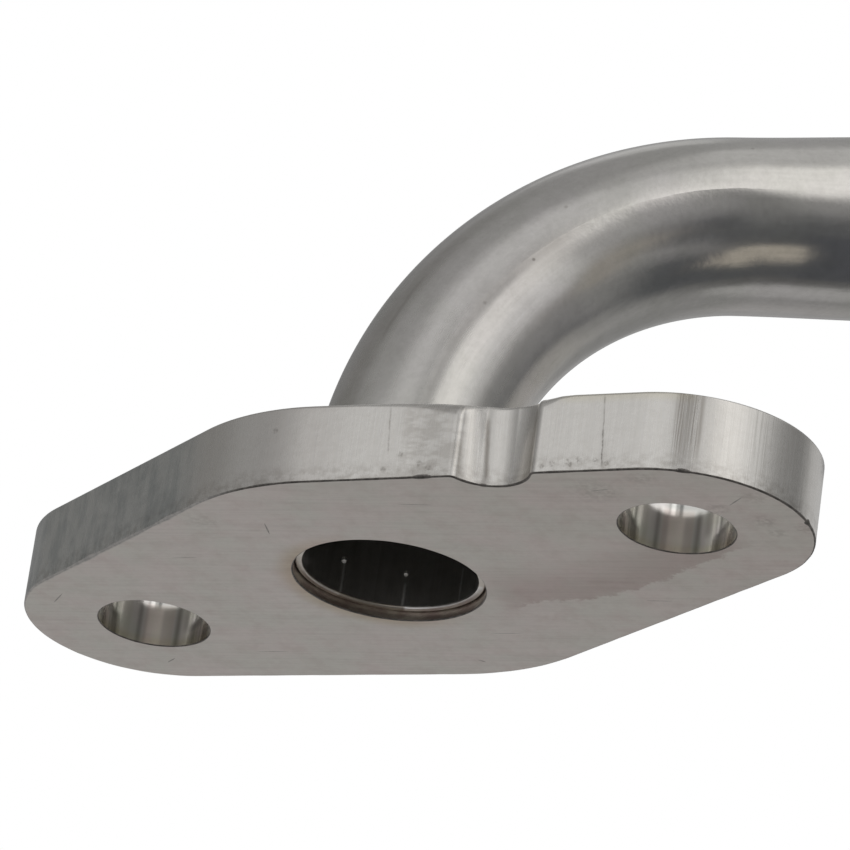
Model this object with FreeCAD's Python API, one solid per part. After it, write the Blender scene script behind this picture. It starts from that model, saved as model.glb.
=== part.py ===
import FreeCAD, Part

import math
import os

# Exhaust gas recirculation pipe end: a thick two-bolt flange with one bent tube welded into it.
# Millimetres. The origin is the centre of the gas port on the mating face, +Z runs along the port
# into the tube, and +X runs along the bolt line towards the bolt hole that lies further out.

# Flange plate
plate_thickness = 8.2
short_bolt_offset = 30.3
long_bolt_offset = 34.95
bolt_hole_diameter = 11.45
middle_radius = 23.0
ear_radius = 13.35
edge_break = 0.2

# Clearance notch in the plate's straight edge on the -Y side, beside the hole on +X
notch_radius = 4.3
notch_depth = 2.65
notch_inboard_of_bolt = 9.5
notch_lip_radius = 0.9

# Tube
tube_diameter = 19.05
tube_wall = 0.7
tube_recess = 0.95
tube_end_deburr = 0.15
port_clearance = 0.125

# Bend: it starts just above the plate and leans away from the bolt line
bend_standoff = 0.95
bend_radius = 38.1
bend_angle = 78.1
bend_heading = 48.8
end_run = 45.0

# Flattening of the tube in the plane of the bend, as a share of its radius: it grows along the
# bend, and the tube widens across the bend by a share of it
flattening_at_start = 0.018
flattening_at_end = 0.061
widening_share = 0.8

# It sets in over a length after the bend's start, and dies out over a length that begins just
# before the bend's end
flattening_lead_in = 6.0
flattening_fade_lead = 1.5
flattening_fade = 20.0

# Fillet weld between the tube and the plate
weld_leg = 2.8
weld_crown = 0.35

# Lofted sections of the bend
degrees_per_section = 5.5
fade_sections = 5

os.makedirs("parts", exist_ok=True)

UP = FreeCAD.Vector(0, 0, 1)
tube_radius = tube_diameter / 2
port_radius = tube_radius + port_clearance
bolt_hole_radius = bolt_hole_diameter / 2
bend_start = plate_thickness + bend_standoff
overrun = 1.0


def at(x, y, z=0.0):
    return FreeCAD.Vector(x, y, z)


# Plate outline


def tangent_points(ear_x):
    """Where the straight edge on the +Y side leaves the middle arc and where it meets an ear's arc."""
    side = math.copysign(1.0, ear_x)
    lean = math.acos((middle_radius - ear_radius) / abs(ear_x))
    across = side * math.cos(lean)
    along = math.sin(lean)
    middle = at(middle_radius * across, middle_radius * along)
    ear = at(ear_x + ear_radius * across, ear_radius * along)
    return middle, ear


def mirrored(point):
    """The same point on the other side of the bolt line."""
    return at(point.x, -point.y)


def plate_outline():
    """Two ear arcs and two middle arcs, joined by four straight tangents."""
    right_middle, right_ear = tangent_points(long_bolt_offset)
    left_middle, left_ear = tangent_points(-short_bolt_offset)
    right_tip = at(long_bolt_offset + ear_radius, 0)
    left_tip = at(-short_bolt_offset - ear_radius, 0)
    edges = [
        Part.Arc(right_middle, at(0, middle_radius), left_middle),
        Part.LineSegment(left_middle, left_ear),
        Part.Arc(left_ear, left_tip, mirrored(left_ear)),
        Part.LineSegment(mirrored(left_ear), mirrored(left_middle)),
        Part.Arc(mirrored(left_middle), at(0, -middle_radius), mirrored(right_middle)),
        Part.LineSegment(mirrored(right_middle), mirrored(right_ear)),
        Part.Arc(mirrored(right_ear), right_tip, right_ear),
        Part.LineSegment(right_ear, right_middle),
    ]
    return Part.Wire([edge.toShape() for edge in edges])


def notch_centre():
    """Centre of the notch, outside the straight edge, with its deepest point notch_depth inside."""
    middle, ear = [mirrored(point) for point in tangent_points(long_bolt_offset)]
    along = (ear - middle).normalize()
    outward = along.cross(UP)
    reach = (long_bolt_offset - notch_inboard_of_bolt - middle.x) / along.x
    outside = notch_radius - notch_depth
    on_edge = middle + along * (reach - outside * outward.x / along.x)
    return on_edge + outward * outside


def hole(x, radius):
    """Cutter for a round hole through the plate, on the bolt line."""
    return Part.makeCylinder(radius, plate_thickness + 2 * overrun, at(x, 0, -overrun))


def is_upright(edge):
    return len(edge.Vertexes) == 2 and edge.tangentAt(edge.FirstParameter).cross(UP).Length < 1e-6


def lip_edges(plate, centre):
    """The two upright edges where the notch breaks through the straight edge."""
    reach = notch_radius + 0.01
    near = [edge for edge in plate.Edges if is_upright(edge)]
    return [edge for edge in near if (edge.CenterOfMass - centre).cross(UP).Length < reach]


def rim_edges(plate):
    """The plate's outer outline on both faces, without the rims of its holes."""
    rims = []
    for face in plate.Faces:
        if abs(face.normalAt(0, 0).cross(UP).Length) < 1e-6:
            rims.extend(face.OuterWire.Edges)
    return rims


def make_flange():
    plate = Part.Face(plate_outline()).extrude(at(0, 0, plate_thickness))
    centre = notch_centre()
    cutter = Part.makeCylinder(notch_radius, plate_thickness + 2 * overrun, centre - UP * overrun)
    plate = plate.cut(cutter)
    plate = plate.makeFillet(notch_lip_radius, lip_edges(plate, centre))
    plate = plate.makeChamfer(edge_break, rim_edges(plate))
    for x, radius in (
        (0, port_radius),
        (long_bolt_offset, bolt_hole_radius),
        (-short_bolt_offset, bolt_hole_radius),
    ):
        plate = plate.cut(hole(x, radius))
    return plate


# Tube path and sections


def heading():
    """Level direction in which the bend carries the tube away from the port."""
    angle = math.radians(bend_heading)
    return at(math.cos(angle), math.sin(angle))


def bend_length():
    return bend_radius * math.radians(bend_angle)


def path_point(travel):
    """Centreline point and direction at a distance past the bend's start, up to the tube's end."""
    turned = min(max(travel / bend_radius, 0.0), math.radians(bend_angle))
    straight = travel - turned * bend_radius
    direction = UP * math.cos(turned) + heading() * math.sin(turned)
    start = UP * (bend_start + bend_radius * math.sin(turned))
    point = start + heading() * (bend_radius * (1 - math.cos(turned)))
    return point + direction * straight, direction


def smooth_step(share):
    share = min(max(share, 0.0), 1.0)
    return share * share * (3 - 2 * share)


def flattening(travel):
    """Share of its radius by which the section is narrowed there."""
    growth = (flattening_at_end - flattening_at_start) * min(travel / bend_length(), 1.0)
    sets_in = smooth_step(travel / flattening_lead_in)
    dies_out = smooth_step((travel - bend_length() + flattening_fade_lead) / flattening_fade)
    return (flattening_at_start + growth) * sets_in * max(1 - dies_out, 0.0)


def section(travel, inset):
    """Outline of the tube there: narrower in the bend's plane, wider across it."""
    centre, direction = path_point(travel)
    across = UP.cross(heading())
    inward = across.cross(direction)
    share = flattening(travel)
    wide = tube_radius * (1 + widening_share * share) - inset
    narrow = tube_radius * (1 - share) - inset
    outline = Part.Wire([Part.Ellipse(at(0, 0), wide, narrow).toShape()])
    turned = FreeCAD.Rotation(across, inward, across.cross(inward), "XYZ")
    outline.Placement = FreeCAD.Placement(centre, turned)
    return outline


def loft_stops():
    """Distances past the bend's start at which the lofted stretch has a section."""
    count = max(8, round(bend_angle / degrees_per_section))
    stops = [bend_length() * i / count for i in range(count + 1)]
    tail = flattening_fade - flattening_fade_lead
    stops += [bend_length() + tail * (i + 1) / fade_sections for i in range(fade_sections)]
    return stops


def rod_along_tube(inset, lengthened):
    """Solid rod that follows the tube, inset from its outside, longer at both ends by lengthened."""
    stops = loft_stops()
    foot = at(0, 0, tube_recess - lengthened)
    lower = Part.makeCylinder(tube_radius - inset, bend_start - foot.z, foot, UP)
    bend = Part.makeLoft([section(travel, inset) for travel in stops], True, False)
    start, direction = path_point(stops[-1])
    upper_length = bend_length() + end_run - stops[-1] + lengthened
    upper = Part.makeCylinder(tube_radius - inset, upper_length, start, direction)
    return lower.fuse([bend, upper])


def end_rims(tube):
    """Round edges of the tube's two cut ends."""
    far_end, direction = path_point(bend_length() + end_run)
    rims = []
    for edge in tube.Edges:
        middle = edge.BoundBox.Center
        at_foot = abs(middle.z - tube_recess) < 1e-4 and edge.BoundBox.ZLength < 1e-4
        at_far_end = (middle - far_end).Length < 1e-3
        if at_foot or at_far_end:
            rims.append(edge)
    return rims


def make_tube():
    tube = rod_along_tube(0.0, 0.0).cut(rod_along_tube(tube_wall, overrun))
    return tube.makeChamfer(min(tube_end_deburr, tube_wall / 3), end_rims(tube))


# Weld


def make_weld_bead():
    """Ring of filler in the corner between plate and tube, slightly crowned, seated on both."""
    toe = at(tube_radius + weld_leg, 0, plate_thickness)
    root = at(tube_radius - tube_wall / 2, 0, plate_thickness)
    crown_radius = weld_leg**2 / (4 * weld_crown) + weld_crown / 2
    outward = at(1, 0, 1).normalize()
    crown = toe + at(-weld_leg, 0, weld_leg) * 0.5 + outward * weld_crown
    centre = crown - outward * crown_radius
    rise = math.sqrt(crown_radius**2 - (root.x - centre.x) ** 2)
    buried_top = at(root.x, 0, centre.z + rise)
    profile = Part.Wire([
        Part.LineSegment(root, toe).toShape(),
        Part.Arc(toe, crown, buried_top).toShape(),
        Part.LineSegment(buried_top, root).toShape(),
    ])
    ring = Part.Face(profile).revolve(at(0, 0, 0), UP, 360)
    return ring.cut(rod_along_tube(0.0, 0.0))


def one_solid(shape):
    solids = shape.Solids
    return solids[0] if len(solids) == 1 else shape


for name, shape in (
    ("flange", make_flange()),
    ("tube", make_tube()),
    ("weld_bead", make_weld_bead()),
):
    piece = one_solid(shape)
    piece.exportStep(f"parts/{name}.step")
    box = piece.BoundBox
    print(name, piece.isValid(), len(piece.Solids), round(piece.Volume, 2), [
        round(value, 3) for value in (box.XMin, box.YMin, box.ZMin, box.XMax, box.YMax, box.ZMax)
    ])
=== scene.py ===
import math

import bpy
import numpy as np
from mathutils import Matrix
from mathutils.geometry import delaunay_2d_cdt


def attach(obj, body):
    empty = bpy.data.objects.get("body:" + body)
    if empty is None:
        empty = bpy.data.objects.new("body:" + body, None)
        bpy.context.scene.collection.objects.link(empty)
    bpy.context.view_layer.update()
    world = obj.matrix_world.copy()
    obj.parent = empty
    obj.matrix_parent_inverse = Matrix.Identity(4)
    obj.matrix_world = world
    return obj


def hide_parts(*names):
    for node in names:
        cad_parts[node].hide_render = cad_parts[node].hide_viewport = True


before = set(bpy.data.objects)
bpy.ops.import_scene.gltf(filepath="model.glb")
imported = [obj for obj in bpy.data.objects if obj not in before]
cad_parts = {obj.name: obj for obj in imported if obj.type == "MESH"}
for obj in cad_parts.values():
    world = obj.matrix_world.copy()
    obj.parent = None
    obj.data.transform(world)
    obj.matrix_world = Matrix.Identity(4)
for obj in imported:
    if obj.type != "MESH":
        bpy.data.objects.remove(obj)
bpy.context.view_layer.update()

# Lengths are in millimetres up to the point where a mesh is made, and the row frame is in metres.
MM = 0.001

# Flange plate, as in the CAD
PLATE = 8.2
SHORT_OFFSET = 30.3
LONG_OFFSET = 34.95
BOLT_RADIUS = 5.725
MIDDLE_RADIUS = 23.0
EAR_RADIUS = 13.35
NOTCH_RADIUS = 4.3
NOTCH_DEPTH = 2.65
NOTCH_INBOARD = 9.5
NOTCH_LIP = 0.9
EDGE_BREAK = 0.2

# Tube, as in the CAD
TUBE_RADIUS = 9.525
WALL = 0.7
RECESS = 0.95
PORT_RADIUS = 9.65
BEND_START = 9.15
BEND_RADIUS = 38.1
BEND_ANGLE = math.radians(78.1)
HEADING = math.radians(48.8)
END_RUN = 45.0
FLAT_START = 0.018
FLAT_END = 0.061
WIDENING = 0.8
FLAT_LEAD_IN = 6.0
FLAT_FADE_LEAD = 1.5
FLAT_FADE = 20.0
BEND_LENGTH = BEND_RADIUS * BEND_ANGLE

# Fillet weld, as in the CAD
WELD_LEG = 2.8
WELD_CROWN = 0.35

UP = np.array([0.0, 0.0, 1.0])
AHEAD = np.array([math.cos(HEADING), math.sin(HEADING), 0.0])
ACROSS = np.cross(UP, AHEAD)


# Meshes


def smooth_step(x):
    x = np.clip(x, 0.0, 1.0)
    return x * x * (3 - 2 * x)


def placed(name, data):
    """New object of a mesh or camera, in the scene's collection."""
    made = bpy.data.objects.new(name, data)
    bpy.context.scene.collection.objects.link(made)
    return made


def circle(count):
    """Even angles all round, anticlockwise."""
    return np.arange(count) * 2 * math.pi / count


def rays(angles):
    return np.column_stack([np.cos(angles), np.sin(angles)])


def lifted(flat, height):
    """Points or directions in the plate's plane, each given a height."""
    return np.column_stack([flat, np.broadcast_to(height, len(flat))])


def course(start, end):
    """Unit direction from start to end, and the one to its right."""
    along = (end - start) / np.linalg.norm(end - start)
    return along, np.array([along[1], -along[0]])


def facings(grid):
    """Outward normals of a closed wall of points, given as rings from the lowest up."""
    along = np.roll(grid, -1, axis=1) - np.roll(grid, 1, axis=1)
    facing = np.cross(along, np.gradient(grid, axis=0))
    return facing / np.linalg.norm(facing, axis=2)[..., None]


# Twice the area, in square mm, below which a triangle of a flat face is left out
SLIVER = 1e-4

# Bands that make up each small round
ROUND_BANDS = 4


class Builder:
    """Collects rings of points and the faces between them, so that neighbouring surfaces share points."""

    def __init__(self):
        self.points = []
        self.normals = []
        self.faces = []
        self.kinds = []
        self.uvs = []

    def ring(self, points, normals):
        start = len(self.points)
        self.points.extend(points.tolist())
        self.normals.extend(normals.tolist())
        return list(range(start, start + len(points)))

    def band(self, lower, upper, travel, low, high, kind):
        """Quads between two closed rings. Travel has one more value than the ring has points."""
        count = len(lower)
        low = np.broadcast_to(low, count)
        high = np.broadcast_to(high, count)
        for i in range(count):
            j = (i + 1) % count
            self.faces.append((lower[i], lower[j], upper[j], upper[i]))
            self.kinds.append(kind)
            left, right = travel[i], travel[i + 1]
            self.uvs.extend([(left, low[i]), (right, low[j]), (right, high[j]), (left, high[i])])

    def face(self, loops, facing, kind, marks=()):
        """Flat face between an outer ring and the rings of its holes, without slivers too thin to see.

        Marks are rings in it whose inside is scratched."""
        rings = [*loops, *marks]
        sizes = [len(ring) for ring in rings]
        starts = np.cumsum([0] + sizes[:-1]).tolist()
        edges = [(s + i, s + (i + 1) % n) for s, n in zip(starts, sizes) for i in range(n)]
        index = np.concatenate(rings)
        flat = np.array(self.points)[index, :2]
        polygons = np.split(flat, starts[1:])
        for triangle in delaunay_2d_cdt(flat.tolist(), edges, [], 0, 1e-7)[2]:
            a, b, c = flat[triangle]
            turn = (b[0] - a[0]) * (c[1] - a[1]) - (b[1] - a[1]) * (c[0] - a[0])
            within, *others = [inside(polygon, (a + b + c) / 3) for polygon in polygons]
            if abs(turn) < SLIVER or not within or any(others[:len(loops) - 1]):
                continue
            corners = index[triangle if turn * facing > 0 else triangle[::-1]].tolist()
            self.faces.append(tuple(corners))
            self.kinds.append(SCRATCH if any(others[len(loops) - 1:]) else kind)
            self.uvs.extend([tuple(self.points[k][:2]) for k in corners])

    def build(self, name, materials):
        """Object of the faces, each with its material and its corners' uv, and one normal a point."""
        mesh = bpy.data.meshes.new(name)
        mesh.from_pydata((np.array(self.points) * MM).tolist(), [], self.faces)
        mesh.polygons.foreach_set("material_index", self.kinds)
        mesh.polygons.foreach_set("use_smooth", [True] * len(self.faces))
        layer = mesh.uv_layers.new(name="grain")
        layer.data.foreach_set("uv", np.array(self.uvs, dtype=np.float32).ravel())
        for material in materials:
            mesh.materials.append(material)
        mesh.update()
        mesh.normals_split_custom_set_from_vertices(self.normals)
        return placed(name, mesh)


def inside(polygon, point):
    """Whether a point lies in a closed polygon."""
    (ax, ay), (bx, by) = polygon.T, np.roll(polygon, -1, axis=0).T
    crosses = (ay > point[1]) != (by > point[1])
    with np.errstate(divide="ignore", invalid="ignore"):
        at_x = ax + (point[1] - ay) * (bx - ax) / (by - ay)
    return bool(np.count_nonzero(crosses & (point[0] < at_x)) % 2)


# Flange


def arc(centre, radius, start, end, outward=1.0, step=0.3):
    """Points and outward normals on an arc, its last point left out. Angles in radians."""
    count = max(3, int(abs(end - start) * radius / step))
    angles = start + (end - start) * np.arange(count) / count
    ray = rays(angles)
    return ray * radius + centre, ray * outward


def line(start, end, step=0.5):
    """Points and right-hand normals on a straight run, its last point left out."""
    count = max(1, int(np.linalg.norm(end - start) / step))
    share = np.arange(count)[:, None] / count
    _, normal = course(start, end)
    return start + (end - start) * share, np.repeat(normal[None], count, axis=0)


def tangents(ear_x):
    """Angle of the tangent's normal from +X, on the +Y side, and its two points."""
    side = math.copysign(1.0, ear_x)
    lean = math.acos((MIDDLE_RADIUS - EAR_RADIUS) / abs(ear_x))
    normal = np.array([side * math.cos(lean), math.sin(lean)])
    angle = math.atan2(normal[1], normal[0])
    return angle, normal * MIDDLE_RADIUS, np.array([ear_x, 0]) + normal * EAR_RADIUS


# Spacing of the points on the notch's lips and on its round
LIP_STEP, NOTCH_STEP = 0.08, 0.12


def outline():
    """The plate's outline, anticlockwise seen from +Z, with its notch on the -Y side."""
    right_angle, right_middle, right_ear = tangents(LONG_OFFSET)
    left_angle, left_middle, left_ear = tangents(-SHORT_OFFSET)
    flip = np.array([1.0, -1.0])
    near_middle, near_ear = right_middle * flip, right_ear * flip
    along, outward = course(near_middle, near_ear)

    # Notch: a round cut whose centre lies outside the edge, with a small round lip on each side
    outside = NOTCH_RADIUS - NOTCH_DEPTH
    reach = (LONG_OFFSET - NOTCH_INBOARD - near_middle[0]) / along[0]
    foot = near_middle + along * (reach - outside * outward[0] / along[0])
    centre = foot + outward * outside
    lip_drop = outside + NOTCH_LIP
    half = math.sqrt((NOTCH_RADIUS + NOTCH_LIP) ** 2 - lip_drop**2)
    lips = [foot + along * (sign * half) - outward * NOTCH_LIP for sign in (-1, 1)]
    bases = [lip + outward * NOTCH_LIP for lip in lips]
    base_angle = math.atan2(outward[1], outward[0])
    touches = [math.atan2(*(centre - lip)[::-1]) for lip in lips]
    start, end = ((touch + math.pi) % (2 * math.pi) for touch in touches)
    turn_in = touches[1]
    while turn_in > base_angle:
        turn_in -= 2 * math.pi
    runs = (
        line(right_ear, right_middle),
        arc((0, 0), MIDDLE_RADIUS, right_angle, left_angle),
        line(left_middle, left_ear),
        arc((-SHORT_OFFSET, 0), EAR_RADIUS, left_angle, 2 * math.pi - left_angle),
        line(left_ear * flip, left_middle * flip),
        arc((0, 0), MIDDLE_RADIUS, -left_angle, -right_angle),
        line(near_middle, bases[0]),
        arc(lips[0], NOTCH_LIP, base_angle, touches[0], step=LIP_STEP),
        arc(centre, NOTCH_RADIUS, start, end, outward=-1.0, step=NOTCH_STEP),
        arc(lips[1], NOTCH_LIP, turn_in, base_angle, step=LIP_STEP),
        line(bases[1], near_ear),
        arc((LONG_OFFSET, 0), EAR_RADIUS, -right_angle, right_angle),
    )
    return [np.concatenate(parts) for parts in zip(*runs)]


def travel_of(points):
    steps = np.linalg.norm(np.roll(points, -1, axis=0) - points, axis=1)
    return np.concatenate([[0.0], np.cumsum(steps)])


# Kinds of face, in the order of the flange's materials
GROUND, CUT, EDGE, DRILLED, PORT_WALL, SCRATCH = range(6)

# Chips in the mating edge: place along the outline, half length and how much deeper it is there
CHIPS = (
    (118.5, 0.9, 0.06), (133.2, 0.7, 0.08), (164.4, 1.1, 0.16),
    (170.8, 0.4, 0.08), (192.6, 0.8, 0.14), (208.4, 0.5, 0.22),
)

# The mating edge's break: how much smaller than in the CAD, how far it varies, how much wear adds
BREAK_LESS, BREAK_VARIES, WORN_ADDS = 0.03, 0.025, 0.1
WORN_FROM, WORN_TO, WORN_FADE = 106.0, 141.0, 4.0

# How far the bolt holes' walls are shaded as if they leaned
HOLE_LEAN = math.tan(math.radians(1.9))

# Breaks of the holes' rims: at the port, at the bolt holes, at the upper face, and how far they vary
PORT_BREAK, BOLT_BREAK, UPPER_BREAK, RIM_VARIES = 0.13, 0.11, 0.12, 0.12
PORT_SIDES, BOLT_SIDES = 192, 144

# Rings up a hole's wall, up the outer wall and over its rollover
HOLE_RINGS, WALL_RINGS, ROLLOVER_RINGS = 9, 15, 10

# Scratches in the mating face: ends and width
SCRATCHES = (
    (-35.4, 8.5, -33.9, 7.9, 0.16), (-37.0, -8.0, -34.6, -9.5, 0.14),
    (-4.6, -13.4, -3.4, -15.8, 0.16), (-3.3, 19.3, -2.8, 20.0, 0.16),
    (42.8, -2.6, 45.2, -3.8, 0.14), (32.0, -10.2, 34.0, -9.9, 0.12),
    (12.0, -14.6, 15.5, -13.1, 0.10), (-18.0, -12.5, -15.2, -11.6, 0.10),
    (-24.5, 9.5, -21.0, 10.7, 0.09), (22.0, 13.0, 24.6, 14.1, 0.10),
    (2.0, 14.2, 5.4, 15.4, 0.09),
)


def wobble(x, period, seed):
    """Smooth random curve between -1 and 1."""
    count = 4096
    values = np.random.default_rng(seed).uniform(-1, 1, count)
    cell = np.floor(x / period).astype(int)
    share = smooth_step(x / period - cell)
    return values[cell % count] * (1 - share) + values[(cell + 1) % count] * share


def mating_breaks(travel):
    """Size of the mating edge's break along the outline: small, uneven, chipped and worn."""
    size = EDGE_BREAK - BREAK_LESS + BREAK_VARIES * wobble(travel, 1.3, 11)
    worn = smooth_step((travel - WORN_FROM) / WORN_FADE) * smooth_step((WORN_TO - travel) / WORN_FADE)
    rough = 0.5 + 0.5 * wobble(travel, 2.2, 12) + 0.3 * wobble(travel, 0.6, 13)
    size = size + worn * WORN_ADDS * np.clip(rough, 0, 1)
    for place, half, extra in CHIPS:
        size = size + extra * smooth_step(1.6 * (1 - np.abs(travel - place) / half))
    return size


def rounded_rings(builder, points, normals, size, base, into):
    """Rings of a small round that leads from a flat face at height base to an upright wall.

    into is 1 where the plate lies above the flat face and -1 where it lies below."""
    rings = []
    for turn in np.linspace(0, math.pi / 2, ROUND_BANDS + 1):
        place = points - normals * (size * (1 - math.sin(turn)))[:, None]
        height = base + into * size * (1 - math.cos(turn))
        facing = lifted(normals * math.sin(turn), -into * math.cos(turn))
        rings.append((builder.ring(lifted(place, height), facing), height))
    return rings


# Rollover of the upper edge, by place along the outline: it is largest at the notch's lips
ROLLOVER = (
    (0.0, 0.3), (150.0, 0.3), (157.0, 0.4), (161.2, 0.6), (164.0, 0.95), (165.6, 1.3), (166.7, 1.65),
    (167.4, 1.75), (168.0, 1.35), (168.8, 0.95), (169.8, 0.65), (171.0, 0.45), (173.5, 0.4), (175.2, 0.6),
    (176.6, 1.0), (177.9, 1.3), (178.7, 0.95), (179.6, 0.5), (181.0, 0.3), (183.0, 0.3), (222.2, 0.3),
)

# How much shallower the notch is at the upper edge than at the mating edge
NOTCH_TAPER = ((168.0, 0.0), (170.3, 0.6), (173.6, 0.6), (176.4, 0.0))
NOTCH_FROM, NOTCH_TO = 163.0, 183.0


def outer_rings(builder, points, normals, low_size):
    """Rings of the outer wall, from the mating edge's round to the end of the upper edge's rollover."""
    travel = travel_of(points)[:-1]
    reach = np.interp(travel, *zip(*ROLLOVER))
    taper = np.interp(travel, *zip(*NOTCH_TAPER)) / PLATE
    straight = normals[np.argmin(np.abs(travel - NOTCH_FROM))]
    in_notch = (travel > NOTCH_FROM) & (travel < NOTCH_TO)
    outward = np.where(in_notch[:, None], straight, normals)
    grid = []
    for share in np.linspace(0, 1, WALL_RINGS):
        height = low_size + (PLATE - reach - low_size) * share
        grid.append(lifted(points + outward * (taper * (height - low_size))[:, None], height))
    for turn in np.linspace(0, math.pi / 2, ROLLOVER_RINGS)[1:]:
        height = PLATE - reach * (1 - math.sin(turn))
        shift = taper * (height - low_size) - reach * (1 - math.cos(turn))
        grid.append(lifted(points + outward * shift[:, None], height))
    grid = np.array(grid)
    facing = facings(grid)
    facing[-1] = UP
    low = rounded_rings(builder, points, normals, low_size, 0.0, 1)
    return low + [(builder.ring(grid[k], facing[k]), grid[k][:, 2]) for k in range(1, len(grid))]


def lens(x0, y0, x1, y1, width):
    """Long thin pointed shape in the mating face."""
    start, end = np.array([x0, y0]), np.array([x1, y1])
    _, side = course(start, end)
    share = np.linspace(0, 1, 9)
    half = width / 2 * np.sin(math.pi * share) ** 0.7
    middle = start + (end - start) * share[:, None]
    one = middle + side * half[:, None]
    other = middle[1:-1] - side * half[1:-1, None]
    return np.concatenate([one, other[::-1]])


def hole_rings(builder, place, facing, low_size, lean):
    """Rings of a hole's wall with a small round at both faces. Its facing leans down by lean."""
    low = rounded_rings(builder, place, facing, low_size, 0.0, 1)
    high = rounded_rings(builder, place, facing, np.full(len(place), UPPER_BREAK), PLATE, -1)[::-1]
    wall_facing = lifted(facing, -lean)
    walls = []
    for share in np.linspace(0, 1, HOLE_RINGS)[1:-1]:
        height = low_size + (PLATE - low_size - UPPER_BREAK) * share
        walls.append((builder.ring(lifted(place, height), wall_facing), height))
    return low + walls + high


def make_flange(materials):
    builder = Builder()
    outer, outer_normals = outline()
    breaks = mating_breaks(travel_of(outer)[:-1])
    contours = [(outer, CUT, outer_rings(builder, outer, outer_normals, breaks))]
    for x, radius, kind, low_size, count, lean in (
        (0.0, PORT_RADIUS, PORT_WALL, PORT_BREAK, PORT_SIDES, 0.0),
        (LONG_OFFSET, BOLT_RADIUS, DRILLED, BOLT_BREAK, BOLT_SIDES, HOLE_LEAN),
        (-SHORT_OFFSET, BOLT_RADIUS, DRILLED, BOLT_BREAK, BOLT_SIDES, HOLE_LEAN),
    ):
        angle = -circle(count)
        ray = rays(angle)
        sizes = low_size * (1 + RIM_VARIES * wobble(angle * radius, 1.5, int(radius * 10 + x)))
        place = np.array([x, 0.0]) + ray * radius
        contours.append((place, kind, hole_rings(builder, place, -ray, sizes, lean)))
    for place, kind, stack in contours:
        travel = travel_of(place)
        for k, ((lower, low_at), (upper, high_at)) in enumerate(zip(stack, stack[1:])):
            builder.band(lower, upper, travel, low_at, high_at, EDGE if k < ROUND_BANDS else kind)
    marks = []
    for scratch in SCRATCHES:
        shape = lens(*scratch)
        marks.append(builder.ring(lifted(shape, 0.0), np.tile(-UP, (len(shape), 1))))
    builder.face([stack[0][0] for *_, stack in contours], -1, GROUND, marks)
    builder.face([stack[-1][0] for *_, stack in contours], 1, GROUND)
    return builder.build("flange_body", materials)


# Tube


def path_point(travel):
    """Centreline point and direction at a distance past the bend's start."""
    turned = np.clip(travel / BEND_RADIUS, 0.0, BEND_ANGLE)
    straight = travel - turned * BEND_RADIUS
    direction = np.cos(turned) * UP + np.sin(turned) * AHEAD
    point = (BEND_START + BEND_RADIUS * np.sin(turned)) * UP
    point = point + BEND_RADIUS * (1 - np.cos(turned)) * AHEAD
    return point + direction * straight, direction


def flattening(travel):
    growth = (FLAT_END - FLAT_START) * np.clip(travel / BEND_LENGTH, 0.0, 1.0)
    sets_in = smooth_step(travel / FLAT_LEAD_IN)
    dies_out = smooth_step((travel - BEND_LENGTH + FLAT_FADE_LEAD) / FLAT_FADE)
    return (FLAT_START + growth) * sets_in * (1 - dies_out)


def tube_ring(travel, inset, angles):
    """Points round the tube at one distance, their outward directions and the tube's direction."""
    centre, direction = path_point(travel)
    inward = np.cross(ACROSS, direction)
    share = flattening(travel)
    wide = TUBE_RADIUS * (1 + WIDENING * share)
    narrow = TUBE_RADIUS * (1 - share)
    cos, sin = np.cos(angles)[:, None], np.sin(angles)[:, None]
    place = centre + cos * ACROSS * (wide - inset) + sin * inward * (narrow - inset)
    normal = cos * ACROSS / wide + sin * inward / narrow
    return place, normal / np.linalg.norm(normal, axis=1)[:, None], direction


# Kinds of face, in the order of the tube's materials
OUTSIDE, BORE, CUT_END = range(3)

# Travel round the tube, on the clean side of its cut ring, that the droplets take their shade from
CLEAN_TRAVEL = 50.0

TUBE_SIDES, BEND_RINGS, RUN_RINGS = 176, 181, 70

# Breaks of the tube's cut ends: the usual one, and the larger one outside at the far end
TUBE_BREAK, FAR_BREAK = 0.15, 0.27

# The port ring's inner break steps at two angles about the port, in degrees
CLEAN_BELOW, NARROW_ABOVE = 118.4, 162.7

# Droplets on the wall of the bore: angle about the port in degrees, height and radius
DROPLETS = ((163.3, 4.74, 0.28), (120.3, 4.80, 0.25))
DROPLET_SIDES, DROPLET_LONGER = 14, 1.3


def end_ring_inset(angles, size):
    """Break of the inner rim of the tube's port end, which changes in two steps round the ring."""
    azimuth = (HEADING + math.pi / 2 - angles) % (2 * math.pi)
    clean = smooth_step((math.radians(CLEAN_BELOW) - azimuth) / 0.03) * smooth_step((azimuth + 0.2) / 0.4)
    narrow = smooth_step((azimuth - math.radians(NARROW_ABOVE)) / 0.03)
    narrow = narrow * smooth_step((math.radians(250) - azimuth) / 0.5)
    return size * (1.2 - 0.85 * clean - 0.5 * narrow)


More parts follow.
